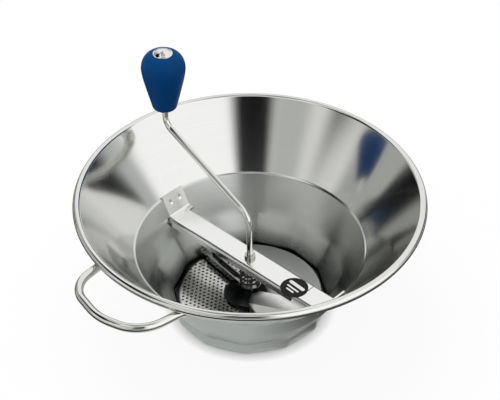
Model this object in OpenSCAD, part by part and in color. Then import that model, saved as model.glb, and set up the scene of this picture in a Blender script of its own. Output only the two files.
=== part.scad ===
// Hand food mill. A two-step conical steel bowl on a twelve-sided foot holds a raised
// sieve. A channel bar locks under two wall brackets and carries the bent crank, whose
// shaft turns a half-disc pressing blade and a scraper arm, held down by a coil spring.
// Origin: centre of the foot's underside. +Z up, bar along X, loop handle towards -Y.

/* [Bowl] */
// Outer diameter over the rolled rim
rim_od = 310; // [296:1:326]
// Diameter of the rolled rim bead
bead_d = 7.6; // [6.6:0.2:8.6]
// Height of the bead's centre
rim_z = 122.8; // [114:0.2:132]
// Thickness of the bowl's sheet
sheet_t = 1; // [0.8:0.1:1.2]
// Inner radius of the bowl where the two cones meet
step_r = 102.8; // [101:0.2:106]
// Height of the step between the cones
step_z = 69; // [66:0.5:74]
// Width of the ledge at the step
step_ledge = 1.2; // [0.6:0.1:2]

/* [Foot] */
// Corner radius of the twelve-sided foot, outside
foot_r = 71.5; // [70.6:0.1:73]
// Height of the foot's upright band
foot_h = 12; // [11:0.5:14]
// Turn of the foot's first corner from +X, in degrees
foot_turn = 9.5; // [0:0.5:29.5]
// Width of the flange that is turned in under the sieve
flange_w = 6; // [4:0.5:8]

/* [Loop handle] */
// Diameter of the handle's rod
rod_d = 7.5; // [6:0.5:8]
// Radius of the loop, to the rod's centre
loop_r = 54.2; // [48:0.2:60]
// Distance from the rim's outer edge in to the loop's centre
loop_inset = 19; // [13:0.5:23]
// Radius of the bend between the loop and each welded foot
loop_bend_r = 12; // [8:0.5:15]
// Where each welded foot ends, in degrees either side of the loop's middle
loop_foot_end = 33; // [31:0.5:38]
// Direction of the loop's middle, in degrees from -Y
loop_turn = 4.5; // [-10:0.5:10]

/* [Sieve] */
// Height of the sieve's top face
sieve_z = 10; // [9:0.2:10.4]
// Thickness of the sieve's sheet
sieve_t = 1; // [0.8:0.1:1.2]
// Diameter of each sieve hole
hole_d = 2.2; // [1.6:0.1:2.8]
// Distance between neighbouring holes
hole_pitch = 4.4; // [4:0.1:6]
// Width of the plain border round the holes
sieve_border = 2.4; // [1.5:0.1:4]
// Outer diameter of the eyelet in the sieve's centre
eyelet_d = 13; // [11:0.5:15]

/* [Crossbar] */
// Width of the crossbar
bar_w = 24; // [20:0.5:28]
// Height of the crossbar's top face
bar_z = 54; // [52:0.5:58]
// Distance from the centre to each end of the crossbar
bar_half = 91; // [89:0.5:91.4]
// Depth of the crossbar's folded sides
bar_depth = 8; // [7:0.5:9]
// Thickness of the crossbar's sheet
bar_t = 1.5; // [1.2:0.1:2]
// Radius of the crossbar's folded edges, outside
bar_edge_r = 3; // [2.4:0.2:4]
// Where the short side ends, from the centre
short_side = 60; // [50:1:70]

/* [Brackets] */
// Thickness of the wall brackets
bracket_t = 1.5; // [1.2:0.1:2]
// How far each bracket reaches past the bar's stop side, in degrees
bracket_stop_side = 9.4; // [9.2:0.2:12]
// How far each bracket reaches towards its open side, in degrees
bracket_open_side = 5.2; // [4:0.2:6]
// How far each bracket stands up past the step
bracket_rise = 2.5; // [0:0.5:4]
// Distance from the centre to the shelf's inner edge
shelf_x = 87; // [85:0.5:88]

/* [Crank] */
// Diameter of the crank's rod
shaft_d = 6; // [5.6:0.1:6.6]
// Distance from the shaft to the knob's axis
crank_reach = 121; // [105:0.2:135]
// Height of the corner where the crank leaves the shaft
crank_z = 100; // [96:0.5:112]
// How far the sloping part climbs
crank_rise = 35; // [28:0.5:50]
// Bend radius at the shaft
low_bend_r = 18; // [14:0.5:24]
// Bend radius below the knob
top_bend_r = 12; // [9:0.5:15]
// Direction of the crank, in degrees from +X
crank_turn = 172.9; // [150:0.1:210]
// Outer diameter of the collar that rests on the bar
collar_d = 9.6; // [8.6:0.2:11]
// Height of the collar
collar_h = 2.6; // [2:0.2:4]

/* [Knob] */
// Height of the knob, cap included
knob_h = 61.5; // [52:0.5:70]
// Greatest diameter of the knob
knob_d = 40; // [34:0.5:42]
// Diameter of the knob at its foot
knob_foot_d = 22; // [19:0.5:24]
// Diameter of the bright cap
cap_d = 16.5; // [15:0.5:19]
// Height from the crank's upper corner to the knob's foot
knob_lift = 19; // [15:0.5:22]

/* [Impeller] */
// Radius of the pressing blade
blade_r = 65.7; // [60:0.1:66.2]
// Thickness of the blade's sheet
blade_t = 1.5; // [1.2:0.1:1.8]
// Gap between the sieve and the blade
blade_gap = 0.5; // [0.4:0.1:0.8]
// Direction of the trailing edge, in degrees from +X
trail_turn = 133; // [125:1:150]
// Direction of the folds along the leading edge, in degrees from +X
fold_turn = 27.5; // [22:0.5:32]
// Distance from the shaft to the crest of the raised leading edge
crest_off = 28; // [26:0.5:30]
// Width of the raised sheet behind the crest
raised_w = 18; // [14:0.5:18]
// Height of the raised sheet above the flat sheet
raised_h = 12; // [8:0.5:13]
// Width of the ramp between the flat and the raised sheet
ramp_w = 10; // [8:0.5:11]
// Length of the lip below the crest
lip_l = 8; // [5:0.5:9]
// Slope of the lip below the horizontal, in degrees
lip_slope = 50; // [35:1:65]
// Radius of the sheet round the hub
collar_sheet_r = 24; // [22:0.5:27]
// Outer diameter of the hub
hub_d = 15; // [13.5:0.5:16]
// Height of the hub above the blade
hub_h = 10; // [9:0.5:12]
// Direction of the scraper arm, in degrees from +X
arm_turn = 172; // [165:1:178]
// Width of the scraper arm
arm_w = 8; // [6.5:0.5:9]
// Height of the scraper arm's sides
arm_h = 6; // [5:0.5:7]
// Radius at the scraper arm's outer end
arm_end_r = 60; // [56:0.5:61]

/* [Spring] */
// Wire diameter of the spring
wire_d = 1.8; // [1.4:0.1:2.1]
// Outer diameter of the spring
spring_d = 19; // [17:0.5:20]
// Turns in the spring
spring_turns = 5.5; // [4.5:0.5:7]

/* [Fits] */
// Gap all round a running fit
run_gap = 0.06; // [0.04:0.01:0.09]
// Gap left at welded, pressed and seated faces
seat_gap = 0.05; // [0.03:0.01:0.08]
// Gap between faces that slide or lie near each other
slide_gap = 0.3; // [0.25:0.05:0.4]

/* [Hidden] */
$fn = 96;

SIDES = 12;
HALF_SIDE = 180 / SIDES;
OVER = 1; // length that cutting shapes run past what they cut
BEND_THINNING = 0.04; // how much thinner a rod is in its bends
SLEEVE = 0.3; // how far a straight rod runs on over each bend

// Bowl, in its half section
bead_c = [rim_od / 2 - bead_d / 2, rim_z];
step_out = [step_r + step_ledge, step_z];
step_to_bead = bead_c - step_out;
upper_slope = atan2(step_to_bead[1], step_to_bead[0]) + asin(bead_d / 2 / norm(step_to_bead));
upper_len = sqrt(step_to_bead * step_to_bead - bead_d * bead_d / 4);
upper_along = [cos(upper_slope), sin(upper_slope)];
upper_out = [sin(upper_slope), -cos(upper_slope)];
split_z = foot_h + 11; // where the faceted foot has become fully round
band_set_in = 0.3; // how far inside the foot's corners the lower cone would reach the band's top
lower_slope = atan2(step_z - foot_h, step_r - foot_r + band_set_in); // above the horizontal
function cone_r(z) = step_r - (step_z - z) / tan(lower_slope);
cone_wall = sheet_t / sin(lower_slope);
foot_flat = foot_r * cos(HALF_SIDE);
foot_inner_flat = foot_flat - sheet_t;
BEAD_SEAM = [190, 235]; // the open seam of the rolled rim, in degrees

// Loop handle
loop_reach = rim_od / 2 - loop_inset;
tail_along = upper_len - sqrt(pow(bead_d / 2 + rod_d / 2 + seat_gap, 2)
    - pow(sheet_t + rod_d / 2 + seat_gap - bead_d / 2, 2));
tail = step_out + tail_along * upper_along + (sheet_t + rod_d / 2 + seat_gap) * upper_out;
tail_to_bend = tail[0] + loop_bend_r;
loop_to_bend = loop_r + loop_bend_r;
bend_turn = acos((loop_reach * loop_reach + tail_to_bend * tail_to_bend - loop_to_bend * loop_to_bend)
    / (2 * loop_reach * tail_to_bend));
loop_open = acos((loop_reach * loop_reach + loop_to_bend * loop_to_bend - tail_to_bend * tail_to_bend)
    / (2 * loop_reach * loop_to_bend));

// Sieve
skirt_flat = foot_inner_flat - 0.8;
sieve_low = sheet_t + seat_gap;
holes_r = skirt_flat - sieve_t - sieve_border;
eyelet_lip = 0.4; // height of the eyelet's lip, in the gap below the hub
pilot_r = shaft_d / 2 + slide_gap;

// Bar, brackets and bush
bar_low = bar_z - bar_depth;
bar_side_half = sqrt(pow(cone_r(bar_low) - 1.2, 2) - pow(bar_w / 2, 2));
shelf_z = bar_z + slide_gap;
bush_r = shaft_d / 2 + run_gap;
bush_wall = 1.1;
bush_flange_r = bush_r + bush_wall + 1;
bush_flange_t = 0.6;
bush_low = bar_z - bar_t - 1;
slit_x = 67.6;

// Impeller, upwards from the sieve
blade_z = sieve_z + blade_gap;
blade_top = blade_z + blade_t;
hub_top = blade_top + hub_h;
pin_z = blade_top + hub_h / 2;
pin_d = 2.5;
clip_z = hub_top + seat_gap;
clip_t = 0.8;
cup_z = clip_z + clip_t + slide_gap;
cup_t = 1;
washer_t = 1;
washer_z = bush_low - seat_gap - washer_t;
spring_low = cup_z + cup_t + slide_gap;
spring_high = washer_z - slide_gap;
spring_seat_r = spring_d / 2 + 0.8; // of the washer above and the cup below
arm_t = 1.2;
arm_start_r = hub_d / 2 + 0.5;
rivet_d = 3;
rivet_rs = [arm_start_r + 3.5, arm_start_r + 11];
hub_neck_d = hub_d - 4; // of the hub's lower end, in the blade's hole
ramp_foot = crest_off - raised_w - ramp_w; // from the shaft to the ramp's foot
inner_x = 6; // from the shaft to the raised sheet's inner end, along the folds
lip_slant = 10; // how far the inner end slants outwards over the lip
behind_fold = 2; // from the first fold to the sheet's edge beside the hub
SKIRT_TURN = [-160, -35]; // where the conical skirt round the hub starts and ends
TONGUE_END = SKIRT_TURN[0] + 4 + 360; // the tongue laps the skirt's start
brim_w = 3; // the skirt's flat brim, half of which lies in the tongue's sheet
spring_room_r = spring_d / 2 + 2.5;
tip_r = foot_inner_flat - 1.1;

// Crank, in its own plane: x outwards, z up
crank_climb = atan(crank_rise / crank_reach);
low_turn = 90 - crank_climb;
low_tangent = low_bend_r * tan(low_turn / 2);
top_tangent = top_bend_r * tan(low_turn / 2);
slope_len = crank_reach / cos(crank_climb) - low_tangent - top_tangent;
corner_z = crank_z + crank_rise;
shaft_low = sieve_z - 4;
collar_z = bar_z + seat_gap + bush_flange_t + seat_gap;

// Knob, upwards from its foot
knob_z = corner_z + knob_lift;
cap_h = 4; // how far the cap stands out of the knob
cap_plug = 3;
body_h = knob_h - cap_h;
shoulder_h = 0.74 * body_h; // the knob is widest here
nut_room = 4;
nut_z = body_h - cap_plug - nut_room;
nut_t = 1;
rod_end = knob_z + nut_z + nut_t + 1;
cap_seat_r = cap_d / 2 - 1.5;
knob_pos = crank_reach * [cos(crank_turn), sin(crank_turn), 0];

// The second face of a bent sheet: the line p moved to its right by t, mitred at each bend
function side(p, i) = let (d = (p[i + 1] - p[i]) / norm(p[i + 1] - p[i])) [d[1], -d[0]];
function mitre(p, i) = let (a = side(p, i - 1), b = side(p, i)) (a + b) / (1 + a * b);
function moved(p, t) = [for (i = [0 : len(p) - 1])
    p[i] + t * (i == 0 ? side(p, 0) : i == len(p) - 1 ? side(p, i - 1) : mitre(p, i))];
function reversed(p) = [for (i = [len(p) - 1 : -1 : 0]) p[i]];
module sheet_section(p, t) polygon(concat(p, reversed(moved(p, t))));

// A ring or plug: outer radius, inner radius, height
module ring(ro, ri, h) {
    difference() {
        cylinder(r = ro, h = h);
        translate([0, 0, -OVER]) cylinder(r = ri, h = h + 2 * OVER);
    }
}

// A length of round rod bent about the z axis, from angle a over sweep s. A bend draws the
// rod a little thinner, so the straight rod it runs into sleeves its end.
module bent_rod(r, d, a, s)
    rotate([0, 0, a]) rotate_extrude(angle = s) translate([r, 0]) circle(d = d - BEND_THINNING);

// The straight sleeve between two bends, at angle a of a bend of radius r about the z axis
module bend_sleeve(r, d, a)
    rotate([0, 0, a]) translate([r, 0, 0]) rotate([90, 0, 0]) cylinder(d = d, h = 2 * SLEEVE, center = true);

// A regular twelve-sided prism or frustum with its flats at the given distances
module twelve_sided(flat_low, flat_high, h) {
    rotate([0, 0, foot_turn])
        cylinder(r1 = flat_low / cos(HALF_SIDE), r2 = flat_high / cos(HALF_SIDE), h = h, $fn = SIDES);
}

// The foot's solid form: upright flats below, then flared flats trimmed by the lower cone
module foot_form(flat, wall, low, rise) {
    flare_z = foot_h + rise;
    flare_h = split_z - flare_z;
    translate([0, 0, low]) twelve_sided(flat, flat, flare_z - low);
    translate([0, 0, flare_z]) intersection() {
        twelve_sided(flat, flat + flare_h, flare_h);
        cylinder(r1 = cone_r(flare_z) + wall, r2 = cone_r(split_z) + wall, h = flare_h);
    }
}

module rim_bead_section() {
    translate(bead_c) difference() {
        circle(d = bead_d);
        circle(d = bead_d - 2 * sheet_t);
        polygon(concat([[0, 0]], [for (a = BEAD_SEAM) bead_d * [cos(a), sin(a)]]));
    }
}

module bowl() {
    flare_shift = sheet_t * (sqrt(2) - 1);
    below = split_z - 4 * sheet_t;
    wall_line = [[cone_r(below), below], [step_r, step_z], step_out, step_out + upper_len * upper_along];
    color("silver") {
        difference() {
            foot_form(foot_flat, cone_wall, 0, 0);
            translate([0, 0, -OVER]) cylinder(r = foot_inner_flat - flange_w, h = sheet_t + 2 * OVER);
            foot_form(foot_inner_flat, 0, sheet_t, flare_shift);
        }
        rotate_extrude() {
            difference() {
                sheet_section(wall_line, sheet_t);
                translate([0, below - OVER]) square([step_r, split_z - below + OVER]);
            }
            rim_bead_section();
        }
    }
}

module loop_handle() {
    bend_at = tail_to_bend * [sin(bend_turn), -cos(bend_turn)];
    to_axis = 90 + bend_turn;
    to_loop = atan2(-loop_reach - bend_at[1], -bend_at[0]);
    color("gainsboro") translate([0, 0, tail[1]]) rotate([0, 0, loop_turn]) {
        translate([0, -loop_reach]) bent_rod(loop_r, rod_d, 90 + loop_open, 360 - 2 * loop_open);
        for (s = [0, 1]) mirror([s, 0, 0]) {
            translate(bend_at) {
                bent_rod(loop_bend_r, rod_d, to_axis, to_loop - to_axis);
                bend_sleeve(loop_bend_r, rod_d, to_axis);
                bend_sleeve(loop_bend_r, rod_d, to_loop);
            }
            bent_rod(tail[0], rod_d, bend_turn - 90, loop_foot_end - bend_turn);
        }
    }
}

// A wall bracket, on the -X side: plate on the cone, shelf over the bar's end, stop lug
module bracket() {
    wall_gap = seat_gap * sin(lower_slope);
    top_z = step_z + bracket_rise;
    plate_line = [[cone_r(top_z) - wall_gap, top_z], [cone_r(shelf_z) - wall_gap, shelf_z], [shelf_x - 4, shelf_z]];
    lug_y = bar_w / 2 + slide_gap;
    lug_drop = bar_t + 2.5;
    lug_x = sqrt(pow(cone_r(shelf_z - lug_drop) - 0.6, 2) - pow(lug_y + bracket_t, 2));
    notch = [[shelf_x, 1], [shelf_x + 3, 12]];
    difference() {
        rotate([0, 0, 180 - bracket_stop_side])
            rotate_extrude(angle = bracket_stop_side + bracket_open_side)
                sheet_section(plate_line, bracket_t);
        translate([-shelf_x, -rim_od / 2, 0]) cube([rim_od, rim_od, rim_z]);
        translate([-notch[1][0], notch[0][1], shelf_z - OVER])
            cube([notch[1][0] - notch[0][0] + OVER, notch[1][1] - notch[0][1] - 1, bracket_t + 2 * OVER]);
    }
    translate([-lug_x, lug_y, shelf_z - lug_drop]) cube([lug_x - shelf_x, bracket_t, lug_drop + bracket_t]);
}

module bracket_left() color("lightgray") bracket();
module bracket_right() color("lightgray") rotate([0, 0, 180]) bracket();

// Rows of holes in a triangular pattern, kept inside the plain border
module hole_pattern() {
    row_step = hole_pitch * sqrt(3) / 2;
    rows = ceil(holes_r / row_step) + 1;
    cols = ceil(holes_r / hole_pitch) + 1;
    corner_r = holes_r / cos(HALF_SIDE);
    for (j = [-rows : rows], i = [-cols : cols]) {
        at = [(i + (j % 2 == 0 ? 0 : 0.5)) * hole_pitch, j * row_step];
        r = norm(at) + hole_d / 2;
        off_flat = max([for (k = [0 : SIDES - 1]) at * [cos((2 * k + 1) * HALF_SIDE), sin((2 * k + 1) * HALF_SIDE)]]);
        if (r < corner_r && off_flat + hole_d / 2 < holes_r && norm(at) > eyelet_d / 2 + hole_d)
            translate(at) circle(d = hole_d, $fn = 24);
    }
}

module sieve_plate() {
    color("silver") translate([0, 0, sieve_z - sieve_t]) rotate([0, 0, foot_turn])
        linear_extrude(sieve_t) difference() {
            circle(r = skirt_flat / cos(HALF_SIDE), $fn = SIDES);
            circle(r = pilot_r + bush_wall + seat_gap);
            hole_pattern();
        }
}

module sieve_skirt() {
    skirt_top = sieve_z - sieve_t;
    color("silver") difference() {
        translate([0, 0, sieve_low]) twelve_sided(skirt_flat, skirt_flat, skirt_top - sieve_low);
        twelve_sided(skirt_flat - sieve_t, skirt_flat - sieve_t, sieve_z);
    }
}

module sieve_eyelet() {
    color("lightgray") {
        translate([0, 0, sieve_z - sieve_t - 1.5]) ring(pilot_r + bush_wall, pilot_r, sieve_t + 1.5 + eyelet_lip);
        translate([0, 0, sieve_z + seat_gap]) ring(eyelet_d / 2, pilot_r, eyelet_lip - seat_gap);
    }
}

module bar_outline(w, h, r) {
    translate([-w / 2, 0]) square([w, h - r]);
    translate([-w / 2 + r, 0]) square([w - 2 * r, h]);
    for (s = [-1, 1]) translate([s * (w / 2 - r), h - r]) circle(r = r);
}

// The cut that ends one folded side of the bar, on the +X half of its -Y side
module side_cut() {
    slope = bar_depth - bar_edge_r;
    translate([0, -bar_w / 2 - OVER, 0]) rotate([90, 0, 0]) mirror([0, 0, 1])
        linear_extrude(OVER + bar_t + 0.2)
            polygon([
                [short_side, bar_low - OVER], [short_side + slope / 2, bar_z - bar_edge_r],
                [bar_half + OVER, bar_z - bar_edge_r], [bar_half + OVER, bar_low - OVER]
            ]);
}

module crossbar() {
    end_cut = bar_half - bar_side_half;
    color("whitesmoke") difference() {
        translate([-bar_half, 0, bar_low]) rotate([90, 0, 90]) linear_extrude(2 * bar_half) difference() {
            bar_outline(bar_w, bar_depth, bar_edge_r);
            translate([0, -OVER])
                bar_outline(bar_w - 2 * bar_t, bar_depth - bar_t + OVER, bar_edge_r - bar_t);
        }
        for (a = [0, 180]) rotate([0, 0, a]) {
            side_cut();
            translate([bar_side_half, -bar_w, bar_low - OVER])
                cube([end_cut + OVER, 2 * bar_w, bar_depth - bar_edge_r + OVER]);
        }
        cylinder(r = bush_r + bush_wall + seat_gap, h = bar_z + OVER);
        translate([slit_x, 1.5, bar_z - bar_t - OVER]) cube([0.8, 9, bar_t + 2 * OVER]);
    }
}

module crossbar_bush() {
    color("darkgray") {
        translate([0, 0, bush_low]) ring(bush_r + bush_wall, bush_r, bar_z + seat_gap - bush_low);
        translate([0, 0, bar_z + seat_gap]) ring(bush_flange_r, bush_r, bush_flange_t);
    }
}

module round_label() {
    color("black") translate([56.5, -3, bar_z + seat_gap]) cylinder(d = 25, h = 0.25);
}

module spring_washer() {
    color("gray") translate([0, 0, washer_z]) ring(spring_seat_r, bush_r + slide_gap, washer_t);
}

// The spring's wire, swept along its helix as one mesh
module spring() {
    SEG = 16;
    AROUND = 6;
    rings = SEG * spring_turns;
    mean_r = (spring_d - wire_d) / 2;
    low = spring_low + wire_d / 2;
    rise = spring_high - spring_low - wire_d;
    points = [for (i = [0 : rings], k = [0 : AROUND - 1])
        let (turn = 360 * i / SEG, around = 360 * k / AROUND, r = mean_r + wire_d / 2 * cos(around))
            [r * cos(turn), r * sin(turn), low + rise * i / rings + wire_d / 2 * sin(around)]];
    sides = [for (i = [0 : rings - 1], k = [0 : AROUND - 1])
        let (a = i * AROUND + k, b = i * AROUND + (k + 1) % AROUND) [a, b, b + AROUND, a + AROUND]];
    first = [for (k = [AROUND - 1 : -1 : 0]) k];
    last = [for (k = [0 : AROUND - 1]) rings * AROUND + k];
    color("dimgray") polyhedron(points, concat(sides, [first, last]));
}

module spring_cup() {
    color("gray") translate([0, 0, cup_z]) ring(spring_seat_r, bush_r, cup_t);
}

module crank_rod() {
    slope_low = [low_tangent * cos(crank_climb), 0, crank_z + low_tangent * sin(crank_climb)];
    slope_high = [crank_reach - top_tangent * cos(crank_climb), 0, corner_z - top_tangent * sin(crank_climb)];
    color("gainsboro") rotate([0, 0, crank_turn]) {
        difference() {
            translate([0, 0, shaft_low]) cylinder(d = shaft_d, h = crank_z - low_tangent - shaft_low + SLEEVE);
            translate([0, 0, pin_z]) rotate([90, 0, 0]) cylinder(d = pin_d + 2 * seat_gap, h = hub_d, center = true);
        }
        translate([low_bend_r, 0, crank_z - low_tangent]) rotate([90, 0, 0])
            bent_rod(low_bend_r, shaft_d, 180 - low_turn, low_turn);
        translate(slope_low) rotate([0, low_turn, 0])
            translate([0, 0, -SLEEVE]) cylinder(d = shaft_d, h = slope_len + 2 * SLEEVE);
        translate([crank_reach - top_bend_r, 0, corner_z + top_tangent]) rotate([90, 0, 0])
            bent_rod(top_bend_r, shaft_d, -low_turn, low_turn);
        translate([crank_reach, 0, corner_z + top_tangent - SLEEVE])
            cylinder(d = shaft_d, h = rod_end - corner_z - top_tangent + SLEEVE);
    }
}

module crank_collar() {
    color("silver") translate([0, 0, collar_z]) ring(collar_d / 2, shaft_d / 2 + seat_gap, collar_h);
}

module impeller_hub() {
    color("darkgray") rotate([0, 0, crank_turn]) difference() {
        union() {
            translate([0, 0, blade_z]) cylinder(d = hub_neck_d, h = blade_t);
            translate([0, 0, blade_top + seat_gap]) cylinder(d = hub_d, h = hub_h - seat_gap);
            translate([0, 0, blade_top]) cylinder(d = hub_neck_d, h = seat_gap);
        }
        cylinder(r = shaft_d / 2 + seat_gap, h = hub_top + OVER);
        translate([0, 0, pin_z]) rotate([90, 0, 0]) cylinder(d = pin_d + 2 * seat_gap, h = 2 * hub_d, center = true);
    }
}

module drive_pin() {
    color("gray") rotate([0, 0, crank_turn]) translate([0, 0, pin_z]) rotate([90, 0, 0])
        cylinder(d = pin_d, h = hub_d, center = true);
}

// The part of a flat outline between two directions
module sector(from, to) {
    middle = (from + to) / 2;
    intersection() {
        children();
        polygon(concat([[0, 0]], [for (a = [from, middle, to]) 2 * blade_r * [cos(a), sin(a)]]));
    }
}

// The blade seen from above: the wide blade, the raised leading edge whose inner end is cut
// on a slant at the lip and round beside the spring, and the scraper arm's tongue
module blade_outline() {
    lip_y = lip_l * cos(lip_slope);
    inner_cut = [
        [inner_x, behind_fold + OVER - ramp_foot], [inner_x, -crest_off],
        [inner_x + lip_slant, -crest_off - lip_y], [inner_x + lip_slant, -blade_r],
        [blade_r, -blade_r], [blade_r, behind_fold + OVER - ramp_foot]
    ];
    difference() {
        union() {
            sector(fold_turn, trail_turn) intersection() {
                circle(r = blade_r, $fn = 180);
                rotate(fold_turn) translate([-2 * blade_r, behind_fold - ramp_foot]) square(4 * blade_r);
            }
            sector(trail_turn - OVER, TONGUE_END) circle(r = collar_sheet_r - brim_w / 2);
            difference() {
                intersection() {
                    circle(r = blade_r, $fn = 180);
                    rotate(fold_turn) polygon(inner_cut);
                }
                circle(r = spring_room_r);
            }
        }
        circle(r = hub_neck_d / 2 + seat_gap);
        for (r = rivet_rs) rotate(arm_turn) translate([r, 0]) circle(r = rivet_d / 2 + seat_gap);
    }
}

// The blade's folded sheet, as a section across its folds
module folded_sheet() {
    section = [
        [blade_r + OVER, 0], [-ramp_foot, 0], [-ramp_foot - ramp_w, raised_h],
        [-crest_off, raised_h], [-crest_off - lip_l * cos(lip_slope), raised_h - lip_l * sin(lip_slope)]
    ];
    rotate([0, 0, fold_turn]) translate([-blade_r, 0, blade_top])
        rotate([90, 0, 90]) linear_extrude(2 * blade_r) sheet_section(section, -blade_t);
}

// The conical skirt round the front of the hub, with its flat brim
module hub_skirt() {
    underside = [
        [hub_d / 2 + seat_gap, blade_z + hub_h - 1], [collar_sheet_r - brim_w, blade_z],
        [collar_sheet_r, blade_z]
    ];
    rotate([0, 0, SKIRT_TURN[0]]) rotate_extrude(angle = SKIRT_TURN[1] - SKIRT_TURN[0])
        sheet_section(underside, -blade_t);
}

module pressing_blade() {
    color("white") {
        intersection() {
            folded_sheet();
            linear_extrude(bar_low) blade_outline();
        }
        hub_skirt();
    }
}

module scraper_arm() {
    len = arm_end_r - arm_start_r;
    color("lightgray") rotate([0, 0, arm_turn]) translate([arm_start_r, 0, blade_top + seat_gap]) difference() {
        translate([0, -arm_w / 2, 0]) cube([len, arm_w, arm_h]);
        translate([-OVER, -arm_w / 2 + arm_t, arm_t]) cube([len + 2 * OVER, arm_w - 2 * arm_t, arm_h]);
        for (r = rivet_rs) translate([r - arm_start_r, 0, -OVER])
            cylinder(r = rivet_d / 2 + seat_gap, h = arm_h);
    }
}

module scraper_tip() {
    tip_w = 12;
    tip_h = 10;
    tip_t = 1.2;
    seat_z = blade_top + seat_gap + arm_t + seat_gap;
    seat_w = arm_w - 2 * arm_t - 2 * seat_gap;
    color("lightgray") rotate([0, 0, arm_turn]) {
        translate([arm_end_r - 12, -seat_w / 2, seat_z]) cube([tip_r - arm_end_r + 12, seat_w, tip_t]);
        intersection() {
            translate([tip_r - tip_t - 3, -tip_w / 2, blade_z]) cube([tip_t + 3, tip_w, tip_h]);
            difference() {
                cylinder(r = tip_r, h = bar_low);
                cylinder(r = tip_r - tip_t, h = bar_low);
            }
        }
    }
}

module arm_rivets() {
    low = blade_z;
    high = blade_top + seat_gap + arm_t + seat_gap;
    color("silver") rotate([0, 0, arm_turn]) for (r = rivet_rs) translate([r, 0, 0]) {
        translate([0, 0, low]) cylinder(d = rivet_d, h = high - low);
        translate([0, 0, high]) cylinder(d = rivet_d + 1.6, h = 1);
    }
}

module hub_clip() {
    color("dimgray") translate([0, 0, clip_z]) ring(shaft_d / 2 + 2.4, shaft_d / 2 + seat_gap, clip_t);
}

module knob_stop_ring() {
    color("silver") translate(knob_pos) translate([0, 0, knob_z - slide_gap - 1.2])
        ring(shaft_d / 2 + 2, shaft_d / 2 + seat_gap, 1.2);
}

// The grip's outline from its foot up: rounded foot, straight flare, full round shoulder
function grip_outline() = let (
        foot_round = 2.5,
        dome = body_h - shoulder_h,
        crown_r = cap_d / 2 + 0.6
    ) concat(
        [for (a = [-90 : 30 : 0]) [knob_foot_d / 2 - foot_round + foot_round * cos(a), foot_round * (1 + sin(a))]],
        [for (a = [0 : 15 : 90]) [crown_r + (knob_d / 2 - crown_r) * cos(a), shoulder_h + dome * sin(a)]]
    );

module knob() {
    bore = shaft_d / 2 + run_gap;
    color("#0b3f7c") translate(knob_pos) translate([0, 0, knob_z]) difference() {
        rotate_extrude() polygon(concat([[0, 0]], grip_outline(), [[0, body_h]]));
        translate([0, 0, -OVER]) cylinder(r = bore, h = body_h + OVER);
        translate([0, 0, nut_z - slide_gap]) cylinder(r = cap_seat_r, h = body_h);
    }
}

module knob_push_nut() {
    color("gray") translate(knob_pos) translate([0, 0, knob_z + nut_z]) ring(shaft_d / 2 + 2.2, shaft_d / 2 + seat_gap, nut_t);
}

module knob_cap() {
    dome_r = (cap_h * cap_h + cap_d * cap_d / 4) / (2 * cap_h);
    color("gainsboro") translate(knob_pos) translate([0, 0, knob_z + body_h]) {
        translate([0, 0, -cap_plug]) cylinder(r = cap_seat_r - seat_gap, h = cap_plug + seat_gap);
        translate([0, 0, seat_gap]) intersection() {
            cylinder(d = cap_d, h = cap_h);
            translate([0, 0, cap_h - dome_r]) sphere(r = dome_r);
        }
    }
}

bowl();
loop_handle();
bracket_left();
bracket_right();
sieve_plate();
sieve_skirt();
sieve_eyelet();
crossbar();
crossbar_bush();
round_label();
spring_washer();
spring();
spring_cup();
crank_rod();
crank_collar();
impeller_hub();
drive_pin();
pressing_blade();
scraper_arm();
scraper_tip();
arm_rivets();
hub_clip();
knob_stop_ring();
knob();
knob_push_nut();
knob_cap();
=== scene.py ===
# %% [markdown]
# # A hand food mill
# The mill is a conical stainless bowl on a twelve-sided foot. A sieve stands in the foot, a
# channel bar locks across the bowl, and a bent crank turns a pressing blade under the bar.
# The solids come from a imported frame. Some of them are shown as they are, and others are
# built anew below, within a few millimetres of them, with softer edges and finer form. First
# the frame is loaded.

# %% Load the frame
import math

import bmesh
import bpy
from mathutils import Matrix, Vector


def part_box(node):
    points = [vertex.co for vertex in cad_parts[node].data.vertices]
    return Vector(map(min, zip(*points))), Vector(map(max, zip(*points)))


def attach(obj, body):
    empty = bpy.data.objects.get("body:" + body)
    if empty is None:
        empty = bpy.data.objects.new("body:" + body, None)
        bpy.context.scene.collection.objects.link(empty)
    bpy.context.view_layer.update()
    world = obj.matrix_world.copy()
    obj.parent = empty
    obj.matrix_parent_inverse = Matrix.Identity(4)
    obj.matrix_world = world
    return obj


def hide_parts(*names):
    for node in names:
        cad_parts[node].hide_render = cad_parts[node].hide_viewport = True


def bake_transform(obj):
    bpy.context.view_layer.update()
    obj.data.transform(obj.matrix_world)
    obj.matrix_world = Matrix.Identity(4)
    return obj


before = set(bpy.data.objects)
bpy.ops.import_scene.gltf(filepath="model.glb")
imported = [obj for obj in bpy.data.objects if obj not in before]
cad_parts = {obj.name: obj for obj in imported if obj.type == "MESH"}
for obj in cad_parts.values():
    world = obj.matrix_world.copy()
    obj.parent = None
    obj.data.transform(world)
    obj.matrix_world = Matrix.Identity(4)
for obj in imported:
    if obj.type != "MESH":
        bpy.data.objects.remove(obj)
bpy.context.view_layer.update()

MM = 0.001

# %% [markdown]
# Colours are written as sRGB hex, the way a paint or plastic chart gives them. Blender's
# shaders work in linear light, so one function turns them over. One more function adds a
# node with its settings and links, which keeps each finish short to read.

# %% Colour and node helpers


def linear(hex_colour):
    """An sRGB hex colour as linear RGBA."""
    channels = [int(hex_colour[i:i + 2], 16) / 255 for i in (1, 3, 5)]
    return [c / 12.92 if c <= 0.04045 else ((c + 0.055) / 1.055) ** 2.4 for c in channels] + [1.0]


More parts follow.
